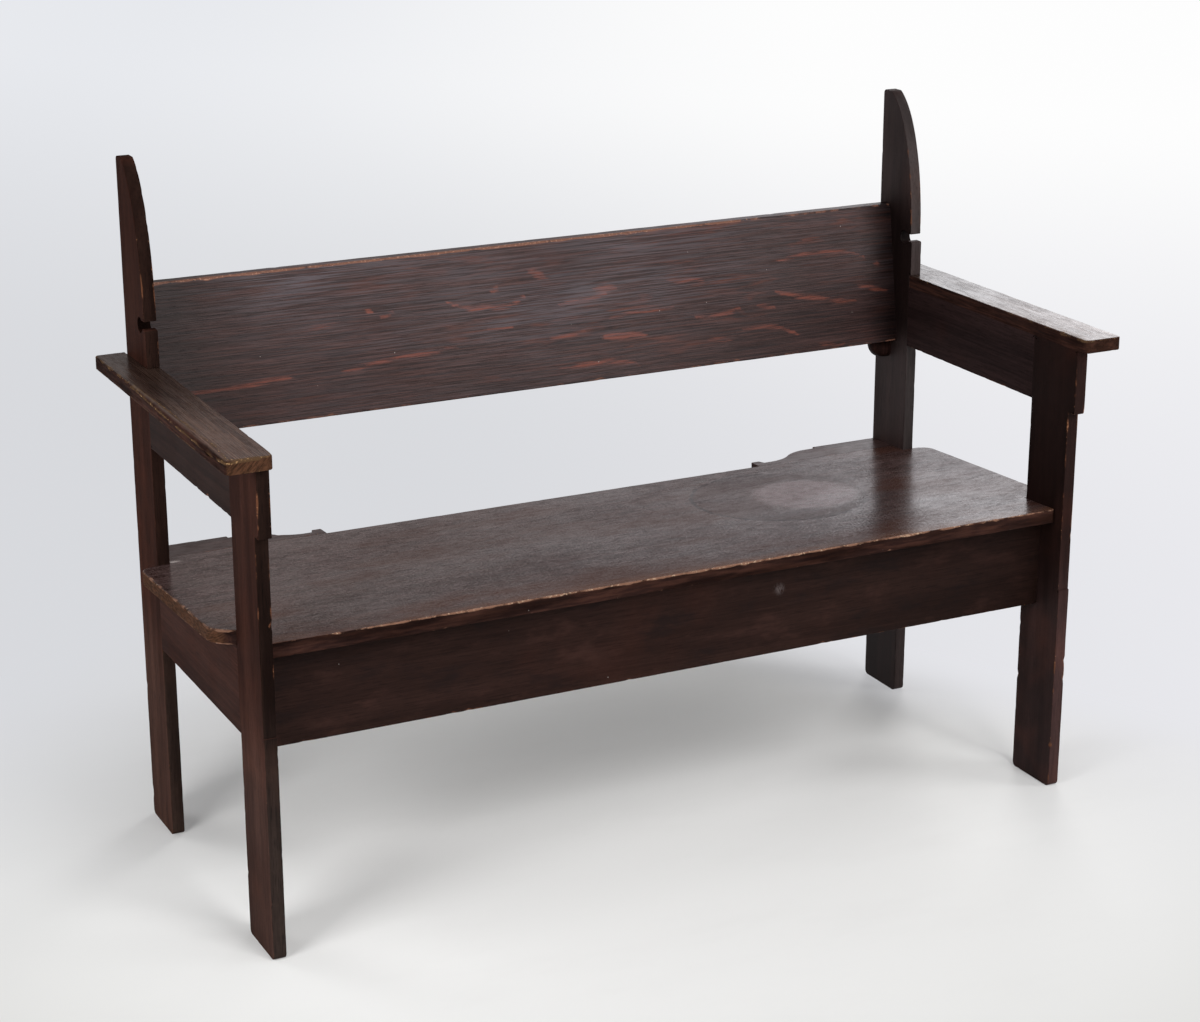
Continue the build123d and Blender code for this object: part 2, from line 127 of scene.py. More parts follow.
# Places that wear differs at
WING_LINE = 0.66  # from the middle: the arms' and the seat wings' outer edges lie beyond it
SEAT_FRONT = -0.22
SEAT_FRONT_END = 0.645
ARM_INNER_LINE = 0.65
ARM_FRONT = -0.27
FRONT_HALF = -0.2
REAR_EDGE = 0.27
KEYHOLE_PLACE = (210 * MM, 799 * MM)  # y and height
KEYHOLE_RADIUS = 10.7 * MM
KEYHOLE_WORK = 20 * MM  # above and below its middle, where the outline has to stay crisp

# The ring stain on the seat
RING_PLACE = (0.313, 0.044)
RING_RADIUS = 0.138
RING_WOBBLE = 0.014
DISC_RADIUS = 0.079
DISC_PLACE = (0.357, 0.034)

DUST_PLACE = (-0.644, 0.196)  # of dust in the corner by the left rear post: x and y
SMUDGE_PLACE = (0.17, 0.394)  # of a pale mark on the front apron: x and z
SMUDGE_RADIUS = 13 * MM


def aim(azimuth, elevation):
    """Unit vector from an azimuth, clockwise from +Y, and an elevation."""
    level = math.cos(elevation)
    return Vector((math.sin(azimuth) * level, math.cos(azimuth) * level, math.sin(elevation)))


def new_object(name, data):
    made = bpy.data.objects.new(name, data)
    bpy.context.scene.collection.objects.link(made)
    return made


def make_camera():
    forward = aim(CAMERA_AZIMUTH, CAMERA_ELEVATION)
    right = Vector((math.cos(CAMERA_AZIMUTH), -math.sin(CAMERA_AZIMUTH), 0))
    up = right.cross(forward)
    tilted_right = right * math.cos(CAMERA_ROLL) + up * math.sin(CAMERA_ROLL)
    tilted_up = up * math.cos(CAMERA_ROLL) - right * math.sin(CAMERA_ROLL)
    data = bpy.data.cameras.new("camera")
    data.sensor_fit = "HORIZONTAL"
    data.sensor_width = CAMERA_SENSOR
    data.lens = CAMERA_LENS
    camera = new_object("camera", data)
    turn = Matrix((tilted_right, tilted_up, -forward)).transposed()
    camera.matrix_world = Matrix.Translation(CAMERA_PLACE) @ turn.to_4x4()
    bpy.context.scene.camera = camera


class Graph:
    """Short ways to add nodes to a shader tree."""

    def __init__(self, tree):
        self.tree = tree
        tree.nodes.clear()

    def fill(self, socket, value):
        """Links a socket to another one's output, or sets its own value."""
        if isinstance(value, bpy.types.NodeSocket):
            self.tree.links.new(value, socket)
        else:
            socket.default_value = value

    def node(self, kind, inputs=None, **settings):
        made = self.tree.nodes.new(kind)
        for name, value in settings.items():
            setattr(made, name, value)
        for name, value in (inputs or {}).items():
            self.fill(made.inputs[name], value)
        return made

    def coordinates(self, kind):
        return self.node("ShaderNodeTexCoord").outputs[kind]

    def attribute(self, name):
        return self.node("ShaderNodeAttribute", attribute_name=name).outputs["Fac"]

    def math(self, operation, a, b=0.0):
        return self.node("ShaderNodeMath", {0: a, 1: b}, operation=operation).outputs[0]

    def less(self, a, b):
        return self.math("SUBTRACT", a, b)

    def sum(self, made, *others):
        for other in others:
            made = self.math("ADD", made, other)
        return made

    def product(self, made, *factors):
        """A product of sockets and numbers, which stays a number where nothing in it is a socket."""
        for factor in factors:
            if isinstance(made, bpy.types.NodeSocket) or isinstance(factor, bpy.types.NodeSocket):
                made = self.math("MULTIPLY", made, factor)
            else:
                made = made * factor
        return made

    def hypot(self, a, b):
        return self.math("SQRT", self.sum(self.product(a, a), self.product(b, b)))

    def vector(self, operation, a, b, output=0):
        return self.node("ShaderNodeVectorMath", {0: a, 1: b}, operation=operation).outputs[output]

    def dot(self, a, b):
        return self.vector("DOT_PRODUCT", a, b, "Value")

    def noise(self, vector, scale, detail=2.0, rough=0.5, distortion=0.0):
        """Noise of a scale for every direction, or of one for each axis."""
        if isinstance(scale, tuple):
            vector, scale = self.vector("MULTIPLY", vector, scale), 1.0
        inputs = {
            "Vector": vector, "Scale": scale, "Detail": detail,
            "Roughness": rough, "Distortion": distortion,
        }
        return self.node("ShaderNodeTexNoise", inputs).outputs["Fac"]

    def ramp(self, value, low, high, to_low=0.0, to_high=1.0):
        inputs = {0: value, 1: low, 2: high, 3: to_low, 4: to_high}
        made = self.node("ShaderNodeMapRange", inputs, interpolation_type="SMOOTHSTEP")
        return made.outputs[0]

    def close(self, value, centre, near, far):
        """One where a value is near a centre, and zero where it is far."""
        return self.ramp(self.math("ABSOLUTE", self.less(value, centre)), near, far, 1.0, 0.0)

    def mix(self, share, a, b, blend="MIX"):
        made = self.node("ShaderNodeMix", data_type="RGBA", blend_type=blend)
        for number, value in ((0, share), (6, a), (7, b)):
            self.fill(made.inputs[number], value)
        return made.outputs[2]

    def blend(self, share, one, two):
        """From one shader to another."""
        inputs = {0: share, 1: one.outputs[0], 2: two.outputs[0]}
        return self.node("ShaderNodeMixShader", inputs)

    def stained(self, shade, *stains):
        """The shade, mixed towards a tint as each stain's value goes from low to high."""
        for value, low, high, strength, tint in stains:
            shade = self.mix(self.ramp(value, low, high, 0.0, strength), shade, tint)
        return shade

    def scaled(self, shade, *factors):
        """The shade times one factor, or times one for each channel."""
        channels = factors * 3 if len(factors) == 1 else factors
        return self.mix(1.0, shade, self.join(*channels), "MULTIPLY")

    def split(self, vector):
        return self.node("ShaderNodeSeparateXYZ", {0: vector}).outputs

    def join(self, x, y, z):
        return self.node("ShaderNodeCombineXYZ", {0: x, 1: y, 2: z}).outputs[0]


def new_material(name):
    material = bpy.data.materials.new(name)
    material.use_nodes = True
    return material, Graph(material.node_tree)


def colour(red, green, blue):
    return (red, green, blue, 1.0)


# Oak colours, from the dark of the pores to the bare wood of worn arrises
PORE = colour(0.007, 0.004, 0.0035)
RED = colour(0.12, 0.036, 0.022)
FLAME = colour(0.185, 0.056, 0.038)
WORN = colour(0.11, 0.045, 0.024)
BARE = colour(0.36, 0.17, 0.09)
SEAT_WORN = colour(0.20, 0.105, 0.070)
SEAT_BARE = colour(0.42, 0.29, 0.20)
ARM_WORN = colour(0.075, 0.042, 0.022)
ARM_BARE = colour(0.30, 0.18, 0.085)
BACK_WORN = colour(0.16, 0.073, 0.050)
BACK_BARE = colour(0.30, 0.16, 0.11)
SPECK = colour(0.5, 0.45, 0.42)
DUST = colour(0.42, 0.37, 0.35)
SMUDGE = colour(0.085, 0.066, 0.064)

# Dark and light grain of each kind of board
POST_TONES = (colour(0.016, 0.0062, 0.0046), colour(0.052, 0.0205, 0.0145))
# A darker copy of the post tones: painted shade on the right front post, and the back cleats' colour.
SHADED_TONES = (colour(0.009, 0.0042, 0.0036), colour(0.028, 0.0125, 0.0105))
RAIL_TONES = (colour(0.012, 0.0070, 0.0069), colour(0.037, 0.0205, 0.0198))
GREY_TONES = (colour(0.015, 0.0088, 0.0085), colour(0.043, 0.0262, 0.0246))
APRON_TONES = (colour(0.012, 0.0058, 0.0046), colour(0.030, 0.0145, 0.0115))
BACK_TONES = (colour(0.015, 0.0075, 0.0068), colour(0.068, 0.034, 0.031))
SEAT_TONES = (colour(0.022, 0.0115, 0.0105), colour(0.062, 0.035, 0.033))
ARM_TONES = (colour(0.026, 0.014, 0.011), colour(0.095, 0.056, 0.043))
HIDDEN_TONES = (colour(0.10, 0.055, 0.03), colour(0.30, 0.19, 0.11))
END_TONES = (colour(0.030, 0.015, 0.009), colour(0.080, 0.036, 0.020))
EDGE_TONES = (colour(0.016, 0.0078, 0.0066), colour(0.038, 0.0165, 0.012))

OAK_IOR = 1.38
GRAIN_SPREAD = 0.115  # of the noise about its middle that goes from the dark to the light tone
RING_BEND = 0.035
UPWARD = (0.45, 0.95)  # how far a face looks up, from a board's sides to its top


def grain_axes(g, place, along, seed):
    """Coordinates along the grain, across it and through the board, shifted by a seed."""
    x, y, z = g.split(place)
    u, v, w = {"X": (x, z, y), "Y": (y, x, z), "Z": (z, y, x)}[along]
    return u, v, w, g.vector("ADD", g.join(u, v, w), (seed, seed * 0.37, seed * 0.71))


def ring_lines(g, u, v, w, bend, seed, pith, rings, run):
    """Stretched growth rings round a pith that lies off the board."""
    radius = g.sum(g.hypot(g.sum(v, pith[0]), g.sum(w, pith[1])), g.product(bend, RING_BEND))
    return g.noise(g.join(g.product(u, run), g.product(radius, rings), seed), 1.0, 3.0, 0.6)


def add_wear(g, place, shade, worn, bare):
    """Rubbed and chipped colour near the arrises, as strong as the mesh says."""
    wear = g.attribute("wear")
    near = g.less(1.0, g.attribute("arris"))
    rubbed = g.sum(g.noise(place, 38.0, 3.0, 0.62), g.product(near, 0.42), g.product(wear, 0.32))
    shade = g.mix(g.product(g.ramp(rubbed, 0.98, 1.16), g.ramp(near, 0.35, 0.9)), shade, worn)
    chipped = g.sum(g.noise(place, 240.0, 3.0, 0.65), g.product(near, 0.36), g.product(wear, 0.14))
    return g.mix(g.product(g.ramp(chipped, 1.03, 1.11), g.ramp(near, 0.4, 0.9)), shade, bare)


def add_specks(g, place, shade, amount):
    """A few pale specks of dust and paint."""
    cells = g.node("ShaderNodeTexVoronoi", {"Vector": place, "Scale": 70.0})
    small = g.ramp(cells.outputs["Distance"], 0.035, 0.06, 1.0, 0.0)
    few = g.ramp(g.split(cells.outputs["Color"])[0], 0.93, 0.935)
    return g.mix(g.product(small, few, amount), shade, SPECK)


def oak(name, along="X", seed=0.0, tones=POST_TONES, pith=(0.12, 0.3), red=0.25, rough=0.55, shine=0.08,
        relief=0.22, waves=0.8, contrast=1.0, broadness=0.3, rings=240.0, run=2.6, worn=WORN, bare=BARE,
        specks=0.35, side_shine=None, extra=None):
    """Fumed oak with its grain along an axis: growth rings, pores, broad stains and wear.

    relief and waves are the heights in mm of the fine and the broad unevenness. side_shine is the
    shine of faces that don't look up, where it differs. extra adds a board's own marks and, for some
    boards, painted light and shade, and gives its shade, roughness and a factor for its shine. worn is
    None for a mesh that has no arris and wear attributes.
    """
    material, g = new_material(name)
    place = g.coordinates("Object")
    u, v, w, grain = grain_axes(g, place, along, seed)
    bend = g.noise(grain, (1.8, 8.0, 8.0))
    lines = ring_lines(g, u, v, w, bend, seed, pith, rings, run)
    fine = g.noise(grain, (16.0, 380.0, 380.0), 2.0, 0.6)
    pores = g.ramp(g.noise(grain, (40.0, 900.0, 900.0), 1.0), 0.56, 0.7)
    broad = g.noise(grain, (2.2, 26.0, 26.0), 3.0, 0.6)
    cloud = g.noise(grain, 5.0, 3.0, 0.6)
    grime = g.noise(place, 170.0, 3.0, 0.7)

    grainy = g.sum(g.product(lines, 0.6), g.product(fine, 0.4))
    mixed = g.sum(g.product(grainy, 1 - broadness), g.product(broad, broadness))
    spread = GRAIN_SPREAD / contrast
    shade = g.mix(g.ramp(mixed, 0.5 - spread, 0.5 + spread), *tones)
    shade = g.mix(g.product(pores, 0.6), shade, PORE)
    shade = g.mix(g.product(g.ramp(cloud, 0.5, 0.78), red), shade, RED)
    shade = g.mix(g.ramp(grime, 0.35, 0.7, 0.0, 0.35), shade, g.mix(0.5, shade, tones[0]))
    roughness = g.ramp(cloud, 0.25, 0.8, rough - 0.06, rough + 0.08)
    gloss = 1.0
    if extra:
        shade, roughness, gloss = extra(g, place, shade, roughness, grain)
    if worn:
        shade = add_wear(g, place, shade, worn, bare)
    shade = add_specks(g, place, shade, specks)

    height = g.sum(g.product(lines, 0.7), g.product(fine, 0.4))
    height = g.less(height, g.product(pores, 0.35))
    bump = g.node("ShaderNodeBump", {"Height": height, "Strength": 0.6, "Distance": relief * MM})
    bump = g.node("ShaderNodeBump", {
        "Height": g.noise(grain, (3.0, 20.0, 20.0)), "Strength": 0.5, "Distance": waves * MM,
        "Normal": bump.outputs[0],
    })
    if side_shine is None:
        level = g.product(shine, gloss)
    else:
        up = g.split(g.coordinates("Normal"))[2]
        patches = g.ramp(g.noise(grain, (40.0, 140.0, 140.0), 4.0, 0.8), 0.38, 0.62, 0.4, 1.6)
        rubbed = g.ramp(g.noise(grain, (4.0, 9.0, 9.0), 3.0, 0.6), 0.38, 0.62, 0.62, 1.36)
        level = g.product(g.ramp(up, *UPWARD, side_shine, shine), g.product(patches, rubbed, gloss))
        roughness = g.ramp(up, *UPWARD, 0.7, roughness)
    shader = g.node("ShaderNodeBsdfPrincipled", {
        "Base Color": shade, "Roughness": roughness, "Normal": bump.outputs[0], "IOR": OAK_IOR,
        "Specular IOR Level": level,
    })
    g.node("ShaderNodeOutputMaterial", {"Surface": shader.outputs[0]})
    return material


def distance_from(g, x, y, centre_x, centre_y):
    return g.hypot(g.less(x, centre_x), g.less(y, centre_y))


def seat_marks(g, place, shade, roughness, grain):
    """Fine mottling, brown and grey streaks, the ring stain at the right and its paler disc."""
    x, y, _ = g.split(place)
    mottle = g.noise(place, 60.0, 4.0, 0.7)
    fine = g.noise(grain, (26.0, 260.0, 260.0), 3.0, 0.7)
    speckle = g.noise(place, (260.0, 380.0, 380.0), 2.0, 0.7)
    streaks = g.noise(grain, (12.0, 95.0, 95.0), 4.0, 0.7)
    patches = g.noise(place, (30.0, 75.0, 75.0), 4.0, 0.7)
    brown = g.noise(grain, (3.0, 11.0, 11.0), 4.0, 0.65)
    shade = g.stained(
        shade,
        (streaks, 0.46, 0.68, 0.5, colour(0.027, 0.0125, 0.0095)),
        (streaks, 0.54, 0.34, 0.5, colour(0.068, 0.045, 0.044)),
        (patches, 0.48, 0.64, 0.6, colour(0.022, 0.010, 0.008)),
        (patches, 0.50, 0.36, 0.5, colour(0.085, 0.052, 0.050)),
        (fine, 0.48, 0.62, 0.6, colour(0.013, 0.0066, 0.0056)),
        (fine, 0.50, 0.38, 0.5, colour(0.105, 0.070, 0.067)),
        (speckle, 0.52, 0.66, 0.6, colour(0.012, 0.0062, 0.0054)),
        (speckle, 0.46, 0.34, 0.6, colour(0.125, 0.085, 0.082)),
        (brown, 0.44, 0.64, 0.8, colour(0.048, 0.019, 0.013)),
    )
    fore = g.product(g.ramp(y, -0.238, -0.205, 1.0, 0.0), g.ramp(brown, 0.32, 0.56))
    shade = g.mix(g.product(fore, 0.7), shade, colour(0.105, 0.046, 0.026))
    low_left = g.product(g.ramp(y, -0.24, -0.02, 1.0, 0.0), g.ramp(x, 0.1, -0.6), g.ramp(brown, 0.35, 0.6))
    shade = g.mix(g.product(low_left, 0.8), shade, colour(0.072, 0.028, 0.017))
    dusty = g.product(g.close(y, DUST_PLACE[1], 1 * MM, 6 * MM), g.close(x, DUST_PLACE[0], 8 * MM, 26 * MM))
    shade = g.mix(g.product(dusty, g.ramp(mottle, 0.3, 0.5)), shade, DUST)

    wobble = g.product(g.less(g.noise(place, 9.0, 3.0, 0.6), 0.5), RING_WOBBLE)
    far = g.sum(distance_from(g, x, y, *RING_PLACE), wobble)
    inside = g.sum(distance_from(g, x, y, *DISC_PLACE), wobble)
    left_side = g.ramp(x, RING_PLACE[0] + RING_RADIUS, RING_PLACE[0], 0.35, 1.0)
    outline = g.product(g.close(far, RING_RADIUS, 1 * MM, 5 * MM), g.ramp(mottle, 0.3, 0.55), left_side)
    band = g.product(g.ramp(far, RING_RADIUS - 4 * MM, RING_RADIUS, 1.0, 0.0),
                     g.ramp(inside, DISC_RADIUS, DISC_RADIUS + 20 * MM))
    disc = g.product(g.ramp(inside, DISC_RADIUS - 10 * MM, DISC_RADIUS + 12 * MM, 1.0, 0.0),
                     g.ramp(mottle, 0.2, 0.65))
    shade = g.mix(g.product(band, 0.25), shade, colour(0.026, 0.017, 0.018))
    shade = g.mix(g.product(outline, 0.85), shade, colour(0.008, 0.005, 0.006))
    shade = g.mix(g.product(disc, 0.75), shade, colour(0.178, 0.127, 0.131))
    stained = g.product(g.sum(outline, band), 0.08)
    roughness = g.sum(roughness, g.ramp(speckle, 0.35, 0.65, -0.05, 0.07), stained)
    dull = g.product(g.ramp(y, -0.24, -0.02, 1.0, 0.3), g.ramp(brown, 0.40, 0.62),
                     g.ramp(x, 0.3, -0.4, 0.6, 1.0))
    gloss = g.ramp(g.math("MAXIMUM", dull, fore), 0.0, 1.0, 1.06, 0.55)
    return edge_grain(g, shade, grain, "X"), roughness, gloss


def arm_marks(cut):
    """Pale lengthwise lines on the top, and darker sides and ends."""
    def marks(g, place, shade, roughness, grain):
        lines = g.noise(grain, (9.0, 420.0, 60.0), 3.0, 0.66)
        shade = g.stained(
            shade,
            (lines, 0.50, 0.64, 0.45, colour(0.150, 0.095, 0.072)),
            (lines, 0.48, 0.36, 0.4, colour(0.030, 0.015, 0.010)),
        )
        roughness = g.sum(roughness, g.ramp(lines, 0.4, 0.65, -0.04, 0.06))
        shade = g.scaled(shade, g.ramp(g.split(place)[1], -0.25, 0.12, 1.15, 0.42))
        return edge_grain(g, shade, grain, "Y", cut), roughness, 1.0
    return marks


def edge_grain(g, shade, grain, along, cut=1.0):
    """Red-brown long edges and ochre end grain on faces that don't look up. cut is the ends' share."""
    facing = g.split(g.coordinates("Normal"))
    x, y, z = g.split(g.coordinates("Object"))
    hatch = g.noise(g.join(g.sum(x, z), y, g.less(z, x)), (60.0, 90.0, 480.0), 3.0, 0.65)
    end = g.mix(g.ramp(hatch, 0.38, 0.62), *END_TONES)
    strokes = g.noise(grain, (16.0, 150.0, 300.0), 4.0, 0.7)
    blotches = g.noise(grain, (5.0, 40.0, 40.0), 3.0, 0.6)
    long = g.scaled(g.mix(g.ramp(strokes, 0.38, 0.66), *EDGE_TONES), g.ramp(blotches, 0.38, 0.62, 0.6, 1.4))
    ends = g.ramp(g.math("ABSOLUTE", facing["XYZ".index(along)]), 0.5, 0.8, 0.0, cut)
    return g.mix(g.ramp(facing[2], 0.6, 0.97, 1.0, 0.0), shade, g.mix(ends, long, end))


def apron_marks(g, place, shade, roughness, grain):
    """Blotches that darken to the right, and one pale smudge."""
    x, _, z = g.split(place)
    blotches = g.noise(grain, (9.0, 22.0, 22.0), 4.0, 0.65)
    shade = g.stained(
        shade,
        (blotches, 0.52, 0.74, 0.6, colour(0.046, 0.021, 0.0165)),
        (blotches, 0.48, 0.30, 0.6, colour(0.009, 0.006, 0.006)),
    )
    shade = g.scaled(shade, g.ramp(x, 0.2, 0.6, 1.0, 0.68))
    smudge = g.ramp(distance_from(g, x, z, *SMUDGE_PLACE), 1 * MM, SMUDGE_RADIUS, 1.0, 0.0)
    smudge = g.product(smudge, g.ramp(g.noise(place, (420.0, 1.0, 130.0), 3.0, 0.7), 0.4, 0.6))
    return g.mix(smudge, shade, SMUDGE), roughness, 1.0


def painted_post_light(front=(1.0, 1.0, 1.0), inner=1.0, beside=1.0, foot=(1.5, 1.7, 1.8), hand=-1, body=1.0):
    """A post's faces, each lighter or darker with painted light and shade: front and foot by channel,
    and inner towards the bench.

    beside is the painted shadow on the stretch of the inner face beside the back board, and body
    is for the whole post.
    """
    def marks(g, place, shade, roughness, grain):
        facing = g.split(g.coordinates("Normal"))
        _, y, z = g.split(place)
        # Painted shade in and round the keyhole: darker there.
        hole = distance_from(g, y, z, *KEYHOLE_PLACE)
        hole = g.ramp(hole, KEYHOLE_RADIUS + 0.5 * MM, KEYHOLE_RADIUS + 2 * MM, 0.35, 1.0)
        inside = g.ramp(g.product(facing[0], -hand), 0.5, 0.8)
        # Painted shadow of the back board on the inner face beside it, which also lowers the shine there.
        dark = g.product(g.ramp(z, 0.58, 0.68), g.ramp(z, 0.80, 0.92, 1.0, 0.0), inside)
        dark = g.product(g.ramp(dark, 0.0, 1.0, 1.0, beside), hole)
        dim = g.product(g.ramp(inside, 0.0, 1.0, 1.0, inner), dark, body)
        # Painted light and shade by channel on the front faces and towards the foot.
        ahead, low = g.ramp(facing[1], -0.8, -0.5, 1.0, 0.0), g.ramp(z, 0.20, 0.45, 1.0, 0.0)
        channels = [
            g.product(g.ramp(ahead, 0.0, 1.0, 1.0, edge), g.ramp(low, 0.0, 1.0, 1.0, base), dim)
            for edge, base in zip(front, foot)
        ]
        return g.scaled(shade, *channels), roughness, dark
    return marks


def back_marks(g, place, shade, roughness, grain):
    """Flame-coloured ray flecks where the mesh marks them, small ones, fine grooves, a painted grey sheen,
    and painted shade by the posts.
    """
    x, _, z = g.split(place)
    mark = g.attribute("fleck")
    streaks = g.noise(grain, (22.0, 330.0, 60.0), 3.0, 0.65)
    drawn = g.sum(mark, g.product(g.less(streaks, 0.5), 3.0))
    drawn = g.product(g.ramp(drawn, 0.15, 1.15), g.ramp(mark, 0.0, 0.6))
    rays = g.noise(grain, (10.0, 85.0, 40.0), 3.0, 0.6, 0.5)
    where = g.noise(grain, (2.2, 7.0, 7.0))
    small = g.product(g.ramp(rays, 0.52, 0.70), g.ramp(where, 0.38, 0.62), g.ramp(x, -0.4, 0.4, 0.25, 0.6))
    grooves = g.noise(grain, (7.0, 520.0, 60.0), 2.0, 0.6)
    shade = g.stained(shade, (grooves, 0.48, 0.64, 0.75, colour(0.011, 0.007, 0.0075)))
    shade = g.mix(small, shade, RED)
    shade = g.mix(g.product(drawn, 0.85), shade, FLAME)
    # Painted sheen: a grey painted reflection, strongest at the upper left, broken into painted glints
    # along the grain.
    painted_sheen = g.product(
        g.ramp(g.noise(grain, (2.5, 6.0, 6.0)), 0.3, 0.65, 0.35, 1.0),
        g.ramp(x, 0.5, -0.1, 0.3, 1.0),
        g.ramp(x, -0.62, -0.35, 0.4, 1.0),
        g.ramp(z, 0.66, 0.80, 0.25, 1.0),
        g.ramp(g.noise(grain, (9.0, 480.0, 60.0), 2.0, 0.6), 0.42, 0.62, 0.1, 0.9),
    )
    shade = g.mix(painted_sheen, shade, colour(0.115, 0.103, 0.116))
    # Painted shade at both ends, where the posts stand, and darker over the right half; the shine also
    # drops by the right post.
    corner = g.ramp(x, 0.57, 0.64, 1.0, 0.35)
    right_half_and_post_shade = g.product(g.ramp(x, 0.15, 0.45, 1.0, 0.86), corner)
    return g.scaled(shade, g.product(g.ramp(x, -0.62, -0.40, 0.42, 1.0), right_half_and_post_shade)), roughness, corner


def steel(name):
    """Dull, slightly rusted steel of old screws."""
    material, g = new_material(name)
    place = g.coordinates("Object")
    rust = g.noise(place, 420.0, 4.0, 0.7)
    scratch = g.noise(place, (1600.0, 300.0, 300.0))
    bump = g.node("ShaderNodeBump", {"Height": rust, "Strength": 0.4, "Distance": 0.15 * MM})
    shader = g.node("ShaderNodeBsdfPrincipled", {
        "Base Color": g.mix(g.ramp(rust, 0.45, 0.65), colour(0.22, 0.20, 0.19), colour(0.07, 0.03, 0.016)),
        "Roughness": g.sum(g.ramp(rust, 0.4, 0.65, 0.32, 0.7), g.product(scratch, 0.1)),
        "Normal": bump.outputs[0],
        "Metallic": 0.85,
    })
    g.node("ShaderNodeOutputMaterial", {"Surface": shader.outputs[0]})
    return material


# Outlines of the boards, read from their solids


def turned(node, turn):
    """Corners of a node's mesh, turned about X, and its triangles."""
    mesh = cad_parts[node].data
    mesh.calc_loop_triangles()
    points = np.array([v.co for v in mesh.vertices], float)
    spin = np.array(Matrix.Rotation(turn, 3, "X"))
    corners, inverse = np.unique((points @ spin.T).round(6), axis=0, return_inverse=True)
    faces = inverse.reshape(-1)[np.array([t.vertices[:] for t in mesh.loop_triangles])]
    return corners, faces


def face_outline(node, axis, side, turn=0.0):
    """The longest loop round the flat face on one side of a node, and its span on that axis."""
    corners, faces = turned(node, turn)
    low, high = face_levels(corners, faces, axis)
    level = high if side > 0 else low
    flat = faces[(abs(corners[faces][:, :, axis] - level) < LEVEL).all(axis=1)]
    sides = dict.fromkeys(pair for a, b, c in flat for pair in ((a, b), (b, c), (c, a)))
    following = {a: b for a, b in sides if (b, a) not in sides}
    plane = [k for k in range(3) if k != axis]
    loops = []
    while following:
        loop = [next(iter(following))]
        while (ahead := following.pop(loop[-1], loop[0])) != loop[0]:
            loop.append(ahead)
        loops.append(corners[loop][:, plane])
    return max(loops, key=lambda loop: np.ptp(loop, axis=0).sum()), low, high


def face_levels(corners, faces, axis):
    """Lowest and highest big flat face of a mesh across an axis."""
    spots = corners[faces]
    flat = np.ptp(spots[:, :, axis], axis=1) < LEVEL
    areas = np.linalg.norm(np.cross(spots[:, 1] - spots[:, 0], spots[:, 2] - spots[:, 0]), axis=1) / 2
    levels = {}
    for level, area in zip(spots[flat][:, 0, axis].round(5), areas[flat]):
        levels[level] = levels.get(level, 0.0) + area
    biggest = max(levels.values())
    wide = [level for level, area in levels.items() if area > BIG_FACE * biggest]
    return min(wide), max(wide)


def cross(one, two):
    """Cross product of flat vectors, one or many of each."""
    return one[..., 0] * two[..., 1] - one[..., 1] * two[..., 0]


def corners_of(loop):
    """Each point of a loop between the ones before and after it."""
    return zip(np.roll(loop, 1, axis=0), loop, np.roll(loop, -1, axis=0))


def tidy(loop):
    """The loop without repeated points or points in line, turning left."""
    if cross(loop, np.roll(loop, -1, axis=0)).sum() < 0:
        loop = loop[::-1]
    kept = []
    for before, here, after in corners_of(loop):
        one, two = here - before, after - here
        one_length, two_length = np.linalg.norm(one), np.linalg.norm(two)
        if two_length > SHORTEST_SIDE and abs(cross(one, two)) > STRAIGHT * one_length * two_length:
            kept.append(here)
    return np.array(kept)


def softened(loop, radius):
    """The loop with its outward square corners rounded by three points each."""
    out = []
    for before, here, after in corners_of(loop):
        one = (here - before) / np.linalg.norm(here - before)
        two = (after - here) / np.linalg.norm(after - here)
        if cross(one, two) > SQUARE:
            out += [here - one * radius, here - (one - two) * radius * ARC_MIDDLE, here + two * radius]
        else:
            out.append(here)
    return np.array(out)


def spaced(loop, step):
    """The loop with extra points wherever two neighbours lie further apart than a step."""
    out = []
    for here, after in zip(loop, np.roll(loop, -1, axis=0)):
        parts = max(1, int(math.ceil(np.linalg.norm(after - here) / step)))
        out += [here + (after - here) * k / parts for k in range(parts)]
    return np.array(out)


def inward(loop):
    """Unit directions into the loop at each point, lengthened at corners to keep an even inset."""
    one = loop - np.roll(loop, 1, axis=0)
    two = np.roll(loop, -1, axis=0) - loop
    one /= np.linalg.norm(one, axis=1)[:, None]
    two /= np.linalg.norm(two, axis=1)[:, None]
    normal = np.stack([-(one[:, 1] + two[:, 1]), one[:, 0] + two[:, 0]], axis=1)
    length = np.linalg.norm(normal, axis=1)[:, None]
    normal /= length
    return normal / np.maximum(length / 2, 0.5)


def room(loop, normals):
    """Distance from each point straight in to the far side of the loop."""
    sides = np.roll(loop, -1, axis=0) - loop
    found = np.full(len(loop), FAR_SIDE)
    for i, (spot, way) in enumerate(zip(loop, normals)):
        way = way / np.linalg.norm(way)
        gap = loop - spot
        slant = cross(way, sides)
        slant = np.where(abs(slant) < TINY, TINY, slant)
        along, share = cross(gap, sides) / slant, cross(gap, way) / slant
        hits = along[(along > NEXT_SIDE) & (share >= 0) & (share <= 1)]
        if len(hits):
            found[i] = hits.min()
    return found


